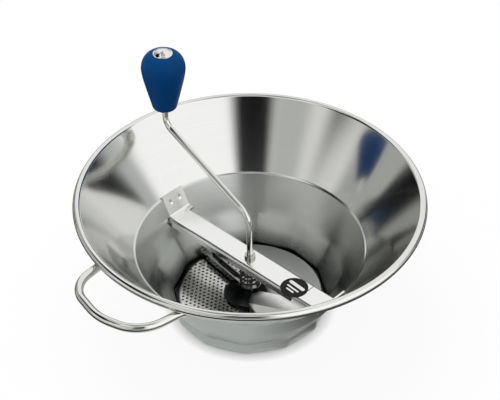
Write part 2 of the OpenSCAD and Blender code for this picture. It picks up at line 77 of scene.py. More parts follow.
def add(tree, kind, sockets=None, **settings):
    """Adds a node. sockets maps an input's name or number to a value or to another node's output."""
    node = tree.nodes.new(kind)
    for name, value in settings.items():
        setattr(node, name, value)
    for key, value in (sockets or {}).items():
        if isinstance(value, bpy.types.NodeSocket):
            tree.links.new(value, node.inputs[key])
        else:
            node.inputs[key].default_value = value
    return node


def new_finish(name, sockets):
    """A material with one Principled shader, whose uniform values are set on its own sockets."""
    material = bpy.data.materials.new(name)
    material.use_nodes = True
    shader = material.node_tree.nodes["Principled BSDF"]
    for key, value in sockets.items():
        shader.inputs[key].default_value = value
    return material, material.node_tree, shader

# %% [markdown]
# Each shape is built from loose points and faces first (a bmesh) and then turned into an
# object. One function does that for every piece and every sheet of the studio. Many shapes
# need places spread evenly round a circle, and another function gives their directions.

# %% Object and circle helpers


def new_object(name, shape, material):
    """An object with one material, made from a bmesh, which is freed."""
    mesh = bpy.data.meshes.new(name)
    shape.to_mesh(mesh)
    shape.free()
    mesh.materials.append(material)
    thing = bpy.data.objects.new(name, mesh)
    bpy.context.collection.objects.link(thing)
    return thing


def round_turns(count):
    """The directions of places spread evenly round a circle, in radians."""
    return [2 * math.pi * i / count for i in range(count)]


# %% [markdown]
# The camera looks down into the bowl from 40 degrees, from the side that shows the loop
# handle at the left and the bar running away to the upper left. It is a long lens from
# 1.4 m, as for a catalogue picture, so the bowl's ellipse is only slightly in perspective.

# %% Camera
CAMERA_TURN = math.radians(43.2)
CAMERA_RISE = math.radians(40.08)
CAMERA_REACH = 1.4
LOOK_AT = Vector((0, 0, 0.100))
FOCAL_PIXELS = 1582
IMAGE_WIDTH = 500
DROP_PIXELS = 18.05  # how far below the image's middle the point looked at falls

towards_camera = Vector((math.sin(CAMERA_TURN), -math.cos(CAMERA_TURN), 0))
to_the_right = Vector((math.cos(CAMERA_TURN), math.sin(CAMERA_TURN), 0))
up = Vector((0, 0, 1))
back = towards_camera * math.cos(CAMERA_RISE) + up * math.sin(CAMERA_RISE)

camera = bpy.data.objects.new("camera", bpy.data.cameras.new("camera"))
camera.data.sensor_width = 36
camera.data.lens = camera.data.sensor_width * FOCAL_PIXELS / IMAGE_WIDTH
camera.data.shift_y = DROP_PIXELS / IMAGE_WIDTH
camera.location = LOOK_AT + back * CAMERA_REACH
camera.rotation_mode = "QUATERNION"
camera.rotation_quaternion = (-back).to_track_quat("-Z", "Y")
bpy.context.collection.objects.link(camera)
bpy.context.scene.camera = camera
bpy.context.scene.view_settings.view_transform = "Standard"
print("lens, mm:", round(camera.data.lens, 1))

# %% [markdown]
# Polished steel shows its surroundings more than itself, so the studio matters as much as
# the metal. A white tent (the world) surrounds the mill. The eye sees it as pure white, both
# straight and mirrored, but the light that it throws is a little weaker, which leaves room
# for soft shade.

# %% Studio: white tent
TENT_LIGHT = 0.82       # strength of the light that it throws, where its seen white is 1
scene = bpy.context.scene
scene.world = bpy.data.worlds.new("white tent")
scene.world.use_nodes = True
tent = scene.world.node_tree
tent.nodes.clear()


def seen_by_eye(tree):
    """1 for a ray from the camera, off a mirror or through a clear body, and 0 for mere lighting."""
    ray = add(tree, "ShaderNodeLightPath").outputs
    seen = ray["Is Camera Ray"]
    for kind in ("Is Glossy Ray", "Is Transmission Ray"):
        seen = add(tree, "ShaderNodeMath", {0: seen, 1: ray[kind]}, operation="MAXIMUM").outputs[0]
    return seen


lighting = add(tent, "ShaderNodeBackground", {"Color": linear("#ffffff"), "Strength": TENT_LIGHT})
shown = add(tent, "ShaderNodeBackground", {"Color": linear("#ffffff"), "Strength": 1.0})
mixed = add(tent, "ShaderNodeMixShader", {
    0: seen_by_eye(tent), 1: lighting.outputs[0], 2: shown.outputs[0]})
add(tent, "ShaderNodeOutputWorld", {"Surface": mixed.outputs[0]})
print("the tent lights with", TENT_LIGHT, "of the white that it shows")

# %% [markdown]
# The mill stands on white paper. Most of the paper's white is its own glow, so that it melts
# into the tent, and the rest of it takes the soft shadow. Near the axis the glow fades out,
# so the paper in the foot stays in its shade.

# %% Studio: white table paper
FLOOR_REACH, FLOOR_Z = 6, -0.0002
WHITE_SHARE = 0.90      # how much of the paper's white is its own glow
GLOW_FROM, GLOW_FULL = 0.066, 0.080  # metres from the axis


def flat_sheet(name, corners, material):
    """A flat stage sheet with the given corners."""
    sheet = bmesh.new()
    sheet.faces.new([sheet.verts.new(corner) for corner in corners])
    new_object(name, sheet, material)


paper, tree, shader = new_finish("white table paper", {"Base Color": linear("#fbfbfa"), "Roughness": 0.9})
place = add(tree, "ShaderNodeTexCoord").outputs["Object"]
from_axis = add(tree, "ShaderNodeVectorMath", {0: place}, operation="LENGTH").outputs["Value"]
open_paper = add(tree, "ShaderNodeMapRange", {
    "Value": from_axis, "From Min": GLOW_FROM, "From Max": GLOW_FULL, "To Max": WHITE_SHARE}).outputs[0]
share = add(tree, "ShaderNodeMath", {0: seen_by_eye(tree), 1: open_paper}, operation="MULTIPLY").outputs[0]
glow = add(tree, "ShaderNodeEmission", {"Color": linear("#ffffff"), "Strength": 1.0})
mixed = add(tree, "ShaderNodeMixShader", {0: share, 1: shader.outputs[0], 2: glow.outputs[0]})
tree.links.new(mixed.outputs[0], tree.nodes["Material Output"].inputs["Surface"])
corners = [(x * FLOOR_REACH, y * FLOOR_REACH, FLOOR_Z) for x, y in ((-1, -1), (1, -1), (1, 1), (-1, 1))]
flat_sheet("floor", corners, paper)
print("table paper, m across:", 2 * FLOOR_REACH)

# %% [markdown]
# Hardly any light gets in under a foot that stands on the table, so the sieve's holes look
# dark. A dark card inside the foot paints that shade.

# %% Studio: dark card under the sieve
DARK_R, DARK_Z, DARK_SIDES = 0.064, -0.00005, 48
painted_shade_card = new_finish("dark card under the sieve", {"Base Color": linear("#161818"), "Roughness": 0.9})[0]
corners = [(DARK_R * math.cos(t), DARK_R * math.sin(t), DARK_Z) for t in round_turns(DARK_SIDES)]
flat_sheet("dark card under the sieve", corners, painted_shade_card)
print("dark card, mm across:", round(2 * DARK_R / MM))

# %% [markdown]
# One soft lamp hangs high up behind the mill, so its shadows fall a little towards the
# camera. The steel doesn't mirror it, because the cards that follow are there for that.
# Places in the studio are given as directions, counted from the camera's own side.

# %% Studio: lamp
LAMP_TURN, LAMP_RISE = -150, 72   # degrees from the camera's side, and above the level
LAMP_REACH, LAMP_SIZE, LAMP_WATTS = 1.6, 0.9, 7  # metres away, metres across, watts


def studio_direction(turn, rise):
    """A direction, turned from the camera's side to the picture's right and raised, in degrees."""
    t, r = math.radians(turn), math.radians(rise)
    flat = towards_camera * math.cos(t) + to_the_right * math.sin(t)
    return flat * math.cos(r) + up * math.sin(r)


direction = studio_direction(LAMP_TURN, LAMP_RISE)
lamp = bpy.data.objects.new("overhead lamp", bpy.data.lights.new("overhead lamp", "AREA"))
lamp.data.size = LAMP_SIZE
lamp.data.energy = LAMP_WATTS
lamp.location = direction * LAMP_REACH
lamp.rotation_mode = "QUATERNION"
lamp.rotation_quaternion = (-direction).to_track_quat("-Z", "Y")
lamp.visible_glossy = False
bpy.context.collection.objects.link(lamp)
print("lamp, m above the table:", round(lamp.location.z, 2))

# %% [markdown]
# White, grey and black cards hang in the tent, as a photographer hangs flags, to draw the
# dark bands and grey fields that tell the eye that the bowl is metal. A real card has a hard
# edge, but hung close and out of focus it fades, and a faded edge is what gives satin steel
# its soft shading. So a card's glow turns clear over some degrees at its edges.

# %% Studio: glow of a card


def fading_glow(name, spreads, fades, grey, strength):
    """A glow that turns clear at its edges. spreads and fades are degrees to the sides and in height."""
    material = bpy.data.materials.new(name)
    material.use_nodes = True
    tree = material.node_tree
    tree.nodes.clear()
    across = add(tree, "ShaderNodeSeparateXYZ", {0: add(tree, "ShaderNodeTexCoord").outputs["UV"]}).outputs
    cover = 1.0
    for side, (spread, fade) in enumerate(zip(spreads, fades)):
        off_middle = add(tree, "ShaderNodeMath", {0: across[side], 1: 0.5}, operation="SUBTRACT").outputs[0]
        off_middle = add(tree, "ShaderNodeMath", {0: off_middle}, operation="ABSOLUTE").outputs[0]
        edge = add(tree, "ShaderNodeMapRange", {
            "Value": off_middle, "From Min": 0.5, "From Max": 0.5 - fade / spread},
            interpolation_type="SMOOTHSTEP").outputs[0]
        cover = add(tree, "ShaderNodeMath", {0: edge, 1: cover}, operation="MULTIPLY").outputs[0]
    glow = add(tree, "ShaderNodeEmission", {"Color": linear(grey), "Strength": strength})
    clear = add(tree, "ShaderNodeBsdfTransparent")
    faded = add(tree, "ShaderNodeMixShader", {0: cover, 1: clear.outputs[0], 2: glow.outputs[0]})
    add(tree, "ShaderNodeOutputMaterial", {"Surface": faded.outputs[0]})
    return material


# %% [markdown]
# Each card is a patch of a dome round the mill, given by how far it spreads to the sides and
# in height. It is a grid of points, and each point's share of the way across is kept as its
# UV place, which is what the fading glow reads.

# %% Studio: shape of a card


def card(name, turns, rises, grey, reach, fades, strength=1.0, steps=16):
    """A dome patch that only reflections see. turns, rises and fades are degrees, reach is metres."""
    spreads = (turns[1] - turns[0], rises[1] - rises[0])
    sheet = bmesh.new()
    place = sheet.loops.layers.uv.new("across")
    rows = []
    for i in range(steps + 1):
        turn = turns[0] + spreads[0] * i / steps
        line = [studio_direction(turn, rises[0] + spreads[1] * j / steps) * reach for j in range(steps + 1)]
        rows.append([sheet.verts.new(point) for point in line])
    for i in range(steps):
        for j in range(steps):
            corners = ((i, j), (i, j + 1), (i + 1, j + 1), (i + 1, j))
            face = sheet.faces.new([rows[u][v] for u, v in corners])
            for loop, (u, v) in zip(face.loops, corners):
                loop[place].uv = (u / steps, v / steps)
    patch = new_object(name, sheet, fading_glow(name, spreads, fades, grey, strength))
    patch.visible_camera = False
    patch.visible_diffuse = False
    patch.visible_transmission = False
    patch.visible_shadow = False
    return patch


# %% [markdown]
# A card's grey is what the steel shows where it mirrors that card. The back wall of the bowl
# mirrors what is behind the camera, and the side walls mirror the cards at the sides. The
# belt and the card overhead go all the way round, so they have more steps and no faded ends.

# %% Studio: cards for the steel to mirror
ALL_ROUND, NO_FADE, BELT_STEPS = (-180, 180), 0.001, 36  # for the cards that close on themselves
cards = [
    card("black flag behind the camera", (-24, 19), (36, 66), "#010202", 2.0, (12, 3)),
    card("grey skirt of the flag", (-20, 14), (19, 38), "#5f6462", 2.05, (9, 5)),
    card("pale skirt of the flag", (-34, 22), (0, 24), "#959a97", 2.1, (18, 4)),
    card("grey field beside the flag", (-52, -14), (27, 60), "#c6c8c5", 2.3, (12, 6)),
    card("pale wall at the left", (-122, -6), (0, 66), "#ecece9", 2.4, (10, 8)),
    card("grey wall at the far left", (-150, -80), (4, 44), "#b4b6b3", 2.35, (12, 8)),
    card("white wall at the right", (8, 100), (0, 66), "#ffffff", 2.4, (14, 8), strength=1.25),
    card("grey wall at the far right", (90, 132), (0, 30), "#c2c5c3", 2.3, (10, 8)),
    card("dark strip at the far left", (-150, -117), (-6, 17), "#050707", 2.25, (6, 6)),
    card("dark strip at the far right", (101, 142), (-6, 21), "#040606", 2.25, (10, 6)),
    card("dark flag over the left", (-134, -54), (31, 68), "#0e1110", 2.2, (14, 9)),
    card("dark belt at the horizon", ALL_ROUND, (-8, 6), "#0a0c0c", 2.15, (NO_FADE, 3), steps=BELT_STEPS),
    card("grey card overhead", ALL_ROUND, (72, 90), "#7f8280", 2.45, (NO_FADE, 10), steps=BELT_STEPS),
    card("grey card over the back", (168, 238), (56, 86), "#aeb1ae", 2.5, (12, 6)),
]
print("hung", len(cards), "cards")

# %% [markdown]
# The bowl leans over the table, so its outside mirrors the paper close to the foot. A grey
# ring lies there, which only the metal sees, and it darkens the lower body as shade would.
# A black ring lies outside it. The rolled rim and the rods draw it as a crisp dark line.

# %% Studio: grey and black rings on the table
RING_Z = -0.0001
RING_CHANGE = (0.0, 0.08)  # metres to the picture's right of the axis, where the grey changes


def table_ring(name, left_grey, right_grey, reach, steps=48):
    """A flat ring on the table that only reflections see. Its grey changes from left to right."""
    sheet = bmesh.new()
    inner, outer = [
        [sheet.verts.new((r * math.cos(t), r * math.sin(t), RING_Z)) for t in round_turns(steps)]
        for r in reach]
    for i in range(steps):
        j = (i + 1) % steps
        sheet.faces.new((inner[i], outer[i], outer[j], inner[j]))
    material, tree, shader = new_finish(name, {"Base Color": linear("#000000"), "Emission Strength": 1.0})
    place = add(tree, "ShaderNodeTexCoord").outputs["Object"]
    across = add(tree, "ShaderNodeVectorMath", {0: place, 1: to_the_right}, operation="DOT_PRODUCT")
    share = add(tree, "ShaderNodeMapRange", {
        "Value": across.outputs["Value"], "From Min": RING_CHANGE[0], "From Max": RING_CHANGE[1]})
    tone = add(tree, "ShaderNodeMix", {
        "Factor": share.outputs[0], "A": linear(left_grey), "B": linear(right_grey)}, data_type="RGBA")
    tree.links.new(tone.outputs["Result"], shader.inputs["Emission Color"])
    ring = new_object(name, sheet, material)
    ring.visible_camera = False
    ring.visible_diffuse = False
    ring.visible_shadow = False
    print(name, "lies from", reach[0], "to", reach[1], "m")


table_ring("grey ring on the table", "#c9ccc9", "#3c3f3d", (0.0735, 0.24))
table_ring("black ring on the table", "#141616", "#141616", (0.24, 0.75))

# %% [markdown]
# Stainless sheet that is spun over a form keeps fine lines round its axis. A noise that
# depends on radius and height, but hardly on the angle, gives such lines. The real ones lie
# about 0.1 mm apart, too fine to show, so they are drawn at 0.8 mm.

# %% Finish: lines of spinning
LINE_MM = 0.8
CHANGES_PER_RADIAN = 1.5  # along a line


def around_axis(tree):
    """Radius, height and angle about the mill's axis, in metres and radians."""
    place = add(tree, "ShaderNodeTexCoord").outputs["Object"]
    xyz = add(tree, "ShaderNodeSeparateXYZ", {0: place}).outputs
    flat = add(tree, "ShaderNodeCombineXYZ", {0: xyz[0], 1: xyz[1]})
    radius = add(tree, "ShaderNodeVectorMath", {0: flat.outputs[0]}, operation="LENGTH").outputs["Value"]
    angle = add(tree, "ShaderNodeMath", {0: xyz[1], 1: xyz[0]}, operation="ARCTAN2").outputs[0]
    return radius, xyz[2], angle


def spun_lines(tree):
    """The height of the lines that spinning leaves, from 0 to 1."""
    lines_per_metre = 1 / (LINE_MM * MM)
    scales = (lines_per_metre, lines_per_metre, CHANGES_PER_RADIAN)
    places = [add(tree, "ShaderNodeMath", {0: value, 1: scale}, operation="MULTIPLY").outputs[0]
              for value, scale in zip(around_axis(tree), scales)]
    spread = add(tree, "ShaderNodeCombineXYZ", dict(enumerate(places)))
    noise = add(tree, "ShaderNodeTexNoise", {"Vector": spread.outputs[0], "Scale": 1.0, "Detail": 3.0})
    return noise.outputs[0]


print("spun lines, drawn per mm:", round(1 / LINE_MM, 2))

# %% [markdown]
# The lines stretch each mirrored shape up and down the cone, so the finish is a metal with
# some anisotropy along them. They also tint it slightly and make its roughness uneven, and a
# softer noise adds the wear of many washings. Low down the steel is duller, and its colour is
# darker there as painted shade, so each finish has two colours and two roughnesses.

# %% Finish: spun stainless steel
ANISOTROPY = 0.6
STREAK_SHARE, STREAK_GREY = 0.14, "#8d908e"  # how far the lines tint the steel, and towards what
WEAR_PER_METRE = 14.0   # worn patches about 70 mm across
UNEVEN = (0.72, 1.28)   # lowest and highest share of the roughness
LINE_BUMP = 0.35        # strength of the lines' relief


def spun_steel(name, upper, lower, between_mm, bump_mm):
    """upper and lower are colour and roughness, and one turns into the other between two heights."""
    material, tree, shader = new_finish(name, {
        "Metallic": 1.0, "Anisotropic": ANISOTROPY, "Anisotropic Rotation": 0.25})
    lines = spun_lines(tree)
    place = add(tree, "ShaderNodeTexCoord").outputs["Object"]
    height = add(tree, "ShaderNodeSeparateXYZ", {0: place}).outputs[2]
    above = add(tree, "ShaderNodeMapRange", {
        "Value": height, "From Min": between_mm[0] * MM, "From Max": between_mm[1] * MM}).outputs[0]

    # the lower colour is painted shade: the steel is darker low down
    tone = add(tree, "ShaderNodeMix", {"Factor": above, "A": linear(lower[0]), "B": linear(upper[0])},
               data_type="RGBA").outputs["Result"]
    streak = add(tree, "ShaderNodeMapRange", {"Value": lines, "To Max": STREAK_SHARE}).outputs[0]
    streaked = add(tree, "ShaderNodeMix", {"Factor": streak, "A": tone, "B": linear(STREAK_GREY)},
                   data_type="RGBA")
    tree.links.new(streaked.outputs["Result"], shader.inputs["Base Color"])

    wear = add(tree, "ShaderNodeTexNoise", {
        "Vector": place, "Scale": WEAR_PER_METRE, "Detail": 4.0}).outputs[0]
    both = add(tree, "ShaderNodeMath", {0: lines, 1: wear}, operation="ADD").outputs[0]
    mean = add(tree, "ShaderNodeMath", {0: both, 1: 0.5}, operation="MULTIPLY").outputs[0]
    uneven = add(tree, "ShaderNodeMapRange", {"Value": mean, "To Min": UNEVEN[0], "To Max": UNEVEN[1]})
    rough = add(tree, "ShaderNodeMapRange", {"Value": above, "To Min": lower[1], "To Max": upper[1]})
    worn = add(tree, "ShaderNodeMath", {0: uneven.outputs[0], 1: rough.outputs[0]}, operation="MULTIPLY")
    tree.links.new(worn.outputs[0], shader.inputs["Roughness"])

    bump = add(tree, "ShaderNodeBump", {"Strength": LINE_BUMP, "Distance": bump_mm * MM, "Height": lines})
    tree.links.new(bump.outputs[0], shader.inputs["Normal"])
    tangent = add(tree, "ShaderNodeTangent", direction_type="RADIAL", axis="Z")
    tree.links.new(tangent.outputs[0], shader.inputs["Tangent"])
    return material


# painted shade low down: slightly darker below the ledge outside, near black at the bottom of the well
bowl_steel = spun_steel("spun stainless steel", ("#dededc", 0.115), ("#c3c6c4", 0.25), (66, 70), 0.007)
well_steel_painted_shade = spun_steel(
    "spun stainless steel, dull low down", ("#c3c5c2", 0.22), ("#222525", 0.3), (10, 24), 0.01)
print("spun finishes:", bowl_steel.name, "and", well_steel_painted_shade.name)

# %% [markdown]
# A finish that isn't spun still has a grain: scratches from handling on polished steel, and
# the faint texture of the mould on plastic. One noise serves for both. It makes the
# roughness and the surface uneven, and its spacing comes from the real marks.

# %% Finish: grain


def add_grain(tree, shader, noise, bump, rough, spread):
    """Makes a finish uneven. rough is the mean roughness, spread its lowest and highest share."""
    place = add(tree, "ShaderNodeTexCoord").outputs["Object"]
    grain = add(tree, "ShaderNodeTexNoise", {"Vector": place, **noise}).outputs[0]
    uneven = add(tree, "ShaderNodeMapRange", {
        "Value": grain, "To Min": rough * spread[0], "To Max": rough * spread[1]})
    tree.links.new(uneven.outputs[0], shader.inputs["Roughness"])
    relief = add(tree, "ShaderNodeBump", {"Height": grain, **bump})
    tree.links.new(relief.outputs[0], shader.inputs["Normal"])


# %% [markdown]
# Rod and folded sheet are bought polished and are only handled after that, so they are
# brighter than the bowl, with short scratches in no one direction. The longest run for about
# 6 mm, and the noise's finer detail stands for the rest.

# %% Finish: polished rod, sheet and turned parts
SCRATCH_MM = 6.0
SCRATCHES = {"Scale": 1 / (SCRATCH_MM * MM), "Detail": 5.0, "Distortion": 0.6}
SCRATCH_BUMP = {"Strength": 0.25, "Distance": 0.01 * MM}
SCRATCH_SPREAD = (0.6, 1.4)


def polished_steel(name, colour, rough):
    """Bright steel, scratched by handling, with the given mean roughness."""
    material, tree, shader = new_finish(name, {"Base Color": linear(colour), "Metallic": 1.0})
    add_grain(tree, shader, SCRATCHES, SCRATCH_BUMP, rough, SCRATCH_SPREAD)
    return material


rod_steel = polished_steel("polished stainless rod", "#dededb", 0.08)
sheet_steel = polished_steel("polished stainless sheet", "#ececea", 0.16)
sieve_steel = polished_steel("perforated stainless sheet", "#d2d2cf", 0.2)
blade_steel = polished_steel("satin blade sheet", "#a6a8a6", 0.36)
# the arms' dark grey is painted shade, darker than the other polished sheet
arm_steel_painted_shade = polished_steel("satin arm sheet", "#8b8d8b", 0.2)
turned_steel = polished_steel("turned steel", "#b9b9b5", 0.18)
spring_steel = polished_steel("drawn spring wire", "#4a4b4a", 0.25)
chrome = polished_steel("bright plated cap", "#e4e4e2", 0.05)
print("polished finishes, with scratches of up to", SCRATCH_MM, "mm")

# %% [markdown]
# Shade falls in the narrow gap round the sieve and under the spring, and it is painted into
# two of the finishes, which darken with their distance from the shaft: the sieve outwards at
# its border, the blade inwards at its conical skirt. The raised part of the blade, on the -Y
# side, gets a painted highlight, and past its fold, towards the skirt, the sheet gets painted
# shade as dark as the skirt.

# %% Finish: painted shade and highlight on the steel
SIEVE_LIT_MM, SIEVE_SHADED_MM = 63.5, 65.5
SKIRT_SHADED_MM, SKIRT_LIT_MM = 15, 21
RAISED_SIDE, RAISED_MM = (0, -1), (-9, -3)  # a level direction, and where the change starts and ends
PAST_FOLD, FOLD_MM = (-0.73, -0.68), (-4, 1)


def tone_between(material, distance, from_mm, to_mm, tone):
    """Turns a finish's colour into another one between two values of a distance node."""
    tree = material.node_tree
    colour = tree.nodes["Principled BSDF"].inputs["Base Color"]
    before = colour.links[0].from_socket if colour.links else tuple(colour.default_value)
    share = add(tree, "ShaderNodeMapRange", {
        "Value": distance, "From Min": from_mm * MM, "From Max": to_mm * MM}).outputs[0]
    mixed = add(tree, "ShaderNodeMix", {"Factor": share, "A": before, "B": linear(tone)}, data_type="RGBA")
    tree.links.new(mixed.outputs["Result"], colour)


def tone_along(material, direction, from_mm, to_mm, tone):
    """Changes a finish's colour between two places along a level direction."""
    place = add(material.node_tree, "ShaderNodeTexCoord").outputs["Object"]
    along = add(material.node_tree, "ShaderNodeVectorMath", {0: place, 1: (*direction, 0)},
                operation="DOT_PRODUCT")
    tone_between(material, along.outputs["Value"], from_mm, to_mm, tone)


def paint_shade_by_radius(material, lit_mm, dark_mm, dark):
    """Paints shade into a finish between two distances from the axis."""
    tone_between(material, around_axis(material.node_tree)[0], lit_mm, dark_mm, dark)


# painted shade in the gap round the sieve's border
paint_shade_by_radius(sieve_steel, SIEVE_LIT_MM, SIEVE_SHADED_MM, "#262828")
# painted highlight on the blade's raised side
tone_along(blade_steel, RAISED_SIDE, *RAISED_MM, "#f6f6f4")
# painted shade past the fold, under the raised part of the blade
tone_along(blade_steel, PAST_FOLD, *FOLD_MM, "#323433")
# painted shade on the blade's skirt under the spring
paint_shade_by_radius(blade_steel, SKIRT_LIT_MM, SKIRT_SHADED_MM, "#121414")
print("the sieve is dark beyond", SIEVE_SHADED_MM, "mm and the blade within", SKIRT_SHADED_MM, "mm")

# %% [markdown]
# The knob is a moulded plastic, a strong dark blue with a smooth and slightly waxy skin. The
# round label on the bar is black film with white ink. The grain of such skins is a few
# hundredths of a millimetre, too fine to show, so it is drawn at 1 to 2 mm and very shallow.

# %% Finish: blue moulded plastic, black film and ink
SKIN_BUMP = {"Strength": 0.15, "Distance": 0.02 * MM}
SKIN_SPREAD = (0.8, 1.2)


def smooth_plastic(name, colour, rough, grain_mm, sheen_level):
    """Plastic with a smooth skin. sheen_level is the strength of what it mirrors."""
    material, tree, shader = new_finish(name, {
        "Base Color": linear(colour), "IOR": 1.49, "Specular IOR Level": sheen_level})
    noise = {"Scale": 1 / (grain_mm * MM), "Detail": 3.0}
    add_grain(tree, shader, noise, SKIN_BUMP, rough, SKIN_SPREAD)
    return material


knob_blue = smooth_plastic("blue moulded knob plastic", "#003d74", 0.45, 1.2, 0.05)
black_film = smooth_plastic("black label film", "#060908", 0.35, 2.0, 0.2)
white_ink = smooth_plastic("white label ink", "#e8e8e6", 0.5, 2.0, 0.3)
print("plastic finishes:", knob_blue.name, "and", black_film.name)

# %% [markdown]
# Every solid of the frame gets its finish here, also those that a piece below stands for.

# %% Dress the frame's own solids
DRESS = {
    "bowl": bowl_steel, "loop_handle": rod_steel,
    "bracket_left": sheet_steel, "bracket_right": sheet_steel,
    "sieve_plate": sieve_steel, "sieve_skirt": sieve_steel, "sieve_eyelet": sieve_steel,
    "crossbar": sheet_steel, "crossbar_bush": turned_steel, "round_label": black_film,
    "spring_washer": turned_steel, "spring": spring_steel, "spring_cup": turned_steel,
    "crank_rod": rod_steel, "crank_collar": turned_steel,
    "impeller_hub": turned_steel, "drive_pin": turned_steel, "pressing_blade": blade_steel,
    "scraper_arm": arm_steel_painted_shade, "scraper_tip": arm_steel_painted_shade, "arm_rivets": turned_steel,
    "hub_clip": spring_steel, "knob_stop_ring": turned_steel,
    "knob": knob_blue, "knob_push_nut": spring_steel, "knob_cap": chrome,
}
for name, material in DRESS.items():
    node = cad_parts[name]
    if not node.material_slots:
        node.data.materials.append(material)
    for slot in node.material_slots:
        slot.material = material
print("dressed", len(DRESS), "solids")

# %% [markdown]
# Most shapes here are sections: a line drawn in the plane of radius and height, which is then
# turned round an axis or drawn out straight. The first helper rounds the corners of a line,
# because no pressed sheet has a sharp fold. The second gives points on a circle. The third
# gives a line the thickness of its sheet.

# %% Helpers for sections


def rounded(corners, radii, steps=6):
    """The line through the corners, with each inner corner rounded to its radius."""
    line = [Vector(corners[0])]
    for before, corner, after, radius in zip(corners, corners[1:], corners[2:], radii):
        corner = Vector(corner)
        to_before = (Vector(before) - corner).normalized()
        to_after = (Vector(after) - corner).normalized()
        turn = math.pi - to_before.angle(to_after)
        centre = corner + (to_before + to_after).normalized() * radius / math.cos(turn / 2)
        start = corner + to_before * radius * math.tan(turn / 2) - centre
        end = corner + to_after * radius * math.tan(turn / 2) - centre
        for i in range(steps + 1):
            t = i / steps
            arm = start * math.sin((1 - t) * turn) + end * math.sin(t * turn)
            line.append(centre + arm / math.sin(turn))
    line.append(Vector(corners[-1]))
    return line


def arc(centre, radius, start, end, steps):
    """Points on a circle, between two directions in degrees."""
    turns = [math.radians(start + (end - start) * i / steps) for i in range(steps + 1)]
    return [Vector((centre[0] + radius * math.cos(t), centre[1] + radius * math.sin(t))) for t in turns]


def thickened(line, thickness):
    """A closed outline: the line, and back along the same line moved to its right."""
    moved = []
    for i, point in enumerate(line):
        along = (line[min(i + 1, len(line) - 1)] - line[max(i - 1, 0)]).normalized()
        moved.append(point + Vector((along[1], -along[0])) * thickness)
    return list(line) + moved[::-1]


print("a fold of 2 mm radius has", len(rounded([(0, 0), (10, 0), (10, 10)], [2])) - 2, "points")

# %% [markdown]
# A section becomes a body when a skin is stretched over copies of it. The copies stand round
# an axis for a turned piece and one behind another for a rod or a sheet, and all of them have
# as many points, so that the skin can join each point to its neighbours.

# %% Helpers for skins


def skin(rings, rings_meet=False, caps=False):
    """A bmesh over closed rings of points in millimetres, each ring with as many points."""
    shape = bmesh.new()
    rows = [[shape.verts.new(Vector(point) * MM) for point in ring] for ring in rings]
    across = len(rows[0])
    for i in range(len(rows) if rings_meet else len(rows) - 1):
        here, there = rows[i], rows[(i + 1) % len(rows)]
        for j in range(across):
            shape.faces.new((here[j], here[(j + 1) % across], there[(j + 1) % across], there[j]))
    if caps:
        shape.faces.new(rows[0][::-1])
        shape.faces.new(rows[-1])
    bmesh.ops.remove_doubles(shape, verts=shape.verts, dist=MM / 10000)
    bmesh.ops.recalc_face_normals(shape, faces=shape.faces)
    return shape


def turned(section, centre=(0, 0), steps=96):
    """A section of radius and height, turned round an upright axis."""
    rings = [[(centre[0] + r * math.cos(turn), centre[1] + r * math.sin(turn), z) for r, z in section]
             for turn in round_turns(steps)]
    return skin(rings, rings_meet=True)


# %% [markdown]
# A finished piece rides on one body of the frame and stands for one or more of its solids.
# Soft curves are shaded smooth, folds stay sharp, and the long faces lead the shading, so that
# flat sheet looks flat beside its rounded edges.

# %% Helpers for pieces


def finish_piece(name, shape, body, finish, slot, *stands_for, crease=40):
    """Turns a bmesh into a piece that rides on a body and stands for some of the frame's solids."""
    piece = new_object(name, shape, finish)
    piece.data.shade_smooth()
    piece.data.set_sharp_from_angle(angle=math.radians(crease))
    even = piece.modifiers.new("long faces lead", "WEIGHTED_NORMAL")
    even.keep_sharp = True
    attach(piece, body)
    if stands_for:
        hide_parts(*stands_for)
    print(name, "has", len(piece.data.polygons), "faces")
    return piece


def middle(node):
    """The middle of a solid's box, in millimetres."""
    low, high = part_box(node)
    return (low + high) / 2 / MM


# %% [markdown]
# The bowl is one sheet, 1 mm thick. It is spun over two cones with a small ledge between
# them, its edge is rolled outwards into a hollow bead, and its foot is pressed into twelve
# flats with a flange turned in below the sieve. The bead takes its place from the frame, and
# the slopes of the two cones follow from it and from the sizes of the ledge and the foot.

# %% Bowl: sizes and slopes
SHEET = 1.0
BEAD_R = 3.8
STEP_R, STEP_Z, LEDGE = 102.8, 69.0, 1.2
FOOT_CORNER_R, FOOT_H, FLANGE = 71.5, 12.0, 6.0
FOOT_SET_IN = 0.3       # how far inside the foot's corners the lower cone would reach its top

bowl_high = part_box("bowl")[1] / MM
bead = Vector((bowl_high.x - BEAD_R, bowl_high.z - BEAD_R))
lower_slope = math.atan2(STEP_Z - FOOT_H, STEP_R - FOOT_CORNER_R + FOOT_SET_IN)
to_bead = bead - Vector((STEP_R + LEDGE, STEP_Z))
upper_slope = math.atan2(to_bead.y, to_bead.x) + math.asin(BEAD_R / to_bead.length)


def cone_radius(z):
    """Inner radius of the lower cone."""
    return STEP_R - (STEP_Z - z) / math.tan(lower_slope)


print("slopes, degrees:", round(math.degrees(lower_slope), 1), "and", round(math.degrees(upper_slope), 1))

# %% [markdown]
# A lathe shape alone can't give the foot's flats, so the section is worked out anew for each
# direction. Low down, its radius is that of a twelve-sided figure with rounded corners.

# %% Bowl: twelve flats of the foot
SIDES = 12
FOOT_TURN = 9.5
CORNER_ROUND = 12.0
half_side = math.pi / SIDES
foot_flat = FOOT_CORNER_R * math.cos(half_side)


